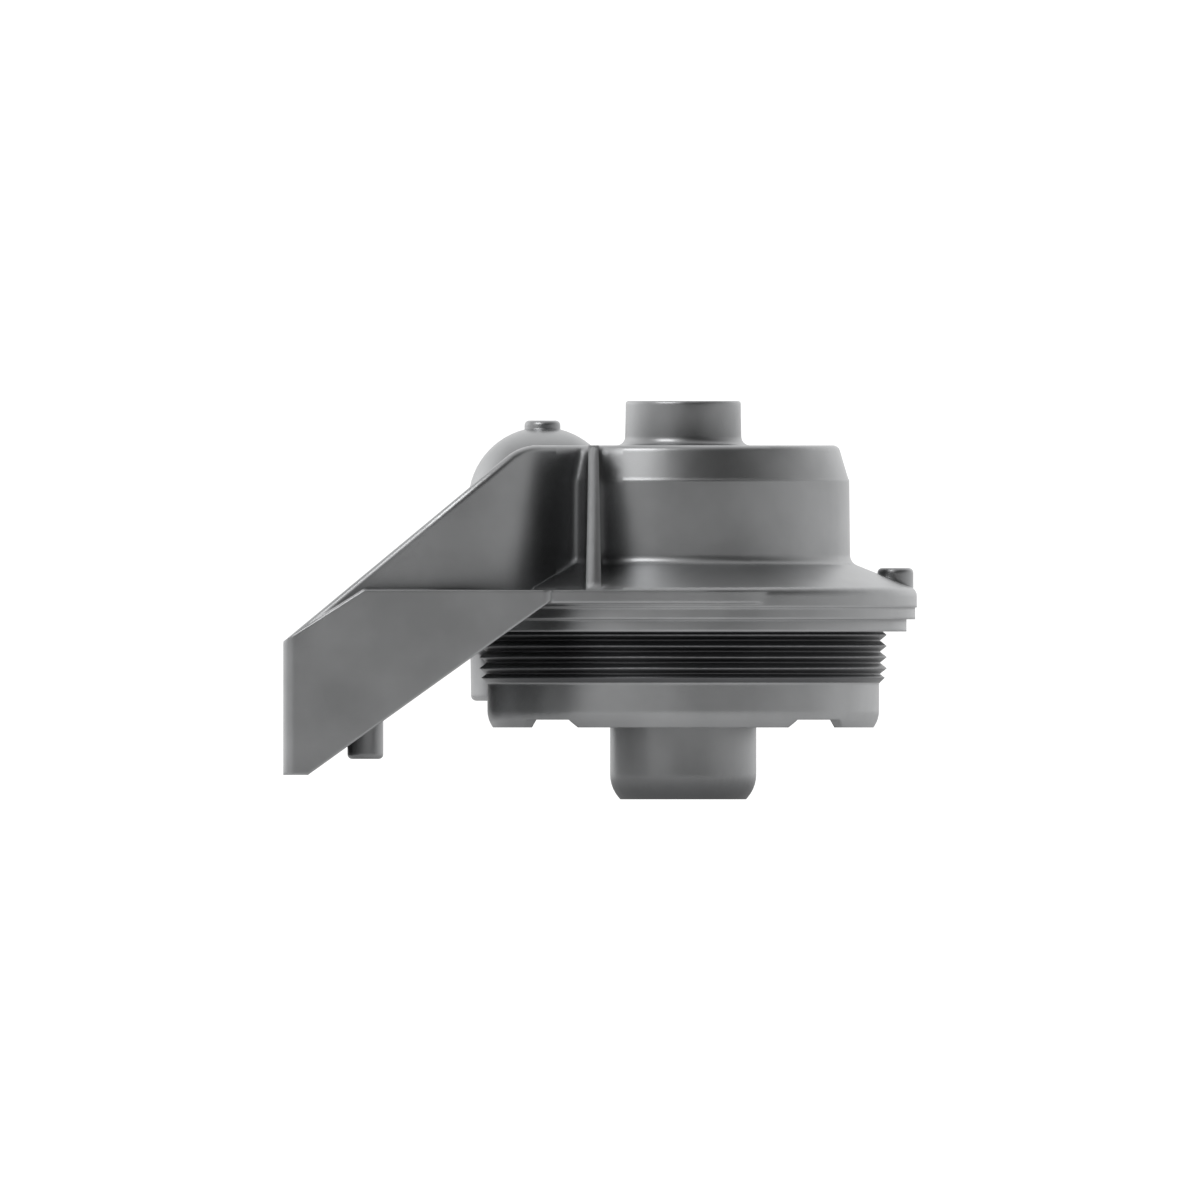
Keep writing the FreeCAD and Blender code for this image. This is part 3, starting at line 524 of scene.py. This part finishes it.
def direction(azimuth, elevation):
    """The way to a place in the room; both angles are in degrees."""
    turn, rise = math.radians(azimuth), math.radians(elevation)
    return Vector((math.sin(turn) * math.cos(rise), -math.cos(turn) * math.cos(rise), math.sin(rise)))


key = bpy.data.objects.new("key", bpy.data.lights.new("key", "AREA"))
bpy.context.scene.collection.objects.link(key)
key.data.shape = "RECTANGLE"
key.data.size = key.data.size_y = KEY_SIZE
key.data.energy = KEY_POWER
way = direction(azimuth=-40, elevation=50)
key.location = PICTURE_CENTRE + way * KEY_DISTANCE
key.rotation_euler = way.to_track_quat("Z", "Y").to_euler()
print("key lamp:", KEY_POWER, "W, from", [round(part, 2) for part in way])

# %% [markdown]
# ## The room
# Metal has no colour of its own to speak of: it shows the room. The room is white behind the head and
# dim on the camera's side, so the flat faces are grey and the round ones brighten to their edges. A few
# soft bright parts, a window and walls, put the wide highlights where a studio has them. The camera
# itself sees plain white.

# %% The room
DIM_SIDE, WHITE_SIDE = 0.03, 1.2
# The room brightens along Y between these parts of a direction; straight behind the head is 1.
DIM_UNTIL, WHITE_FROM = -0.35, 1.2
# Azimuth, elevation and half-width in degrees, and strength, of each bright part.
PANELS = {
    "window_left": (-38, 28, 34, 0.50),
    "wall_left": (-100, 0, 60, 0.55),
    "low_wall_right": (78, 0, 46, 0.30),
    "ceiling": (0, 88, 50, 0.30),
}

world = bpy.data.worlds.new("studio")
bpy.context.scene.world = world
world.use_nodes = True
tree = world.node_tree
way = add(tree, "TexCoord").outputs["Generated"]
away = add(tree, "SeparateXYZ", links={"Vector": way})
room = add(tree, "MapRange", {"From Min": DIM_UNTIL, "From Max": WHITE_FROM, "To Min": DIM_SIDE,
                              "To Max": WHITE_SIDE, "interpolation_type": "SMOOTHSTEP"},
           {"Value": away.outputs["Y"]})
total = room.outputs["Result"]
for azimuth, elevation, width, strength in PANELS.values():
    facing = add(tree, "VectorMath", {"operation": "DOT_PRODUCT", 1: direction(azimuth, elevation)},
                 {0: way})
    glow = add(tree, "MapRange", {"From Min": math.cos(math.radians(width)), "From Max": 1.0, "To Min": 0.0,
                                  "To Max": strength, "interpolation_type": "SMOOTHSTEP"},
               {"Value": facing.outputs["Value"]})
    total = add(tree, "Math", {"operation": "ADD"}, {0: total, 1: glow.outputs["Result"]}).outputs["Value"]
path = add(tree, "LightPath")
level = add(tree, "Math", {"operation": "MAXIMUM"}, {0: total, 1: path.outputs["Is Camera Ray"]})
background = tree.nodes["Background"]
background.inputs["Color"].default_value = linear("#ffffff")
tree.links.new(level.outputs["Value"], background.inputs["Strength"])
print("bright parts of the room:", list(PANELS))

# %% [markdown]
# ## The floor
# The floor is white. Its own colour takes the shadow of the head, and a glow that only the camera and the
# reflections see lifts it to the white of a photographer's table, without more light on the metal. It
# lies a hair under the spigot, so that the two faces don't fight for the same place.

# %% The floor
FLOOR_SIZE = 8
FLOOR_GAP = 0.05 * MM
SEEN, MIRRORED = 0.65, 0.32

bpy.ops.object.select_all(action="DESELECT")
bpy.ops.mesh.primitive_plane_add(size=FLOOR_SIZE, location=(0, 0, cad_low.z - FLOOR_GAP))
floor = bpy.context.object
floor.name = "floor"
paint, tree, shader = new_material("white_floor", Base_Color=linear("#b4b4b4"), Roughness=0.9)
shader.inputs["Emission Color"].default_value = linear("#ffffff")
path = add(tree, "LightPath")
mirror = add(tree, "Math", {"operation": "MAXIMUM"},
             {0: path.outputs["Is Glossy Ray"], 1: path.outputs["Is Transmission Ray"]})
mirror = add(tree, "Math", {"operation": "MULTIPLY", 1: MIRRORED}, {0: mirror.outputs["Value"]})
glow = add(tree, "Math", {"operation": "MULTIPLY_ADD", 1: SEEN},
           {0: path.outputs["Is Camera Ray"], 2: mirror.outputs["Value"]})
tree.links.new(glow.outputs["Value"], shader.inputs["Emission Strength"])
floor.data.materials.append(paint)
print("floor at", round((cad_low.z - FLOOR_GAP) / MM, 2), "mm")

# %% [markdown]
# ## The finish
# Colours are shown as they are, with no film look over them.

# %% Finish
bpy.context.scene.view_settings.view_transform = "Standard"
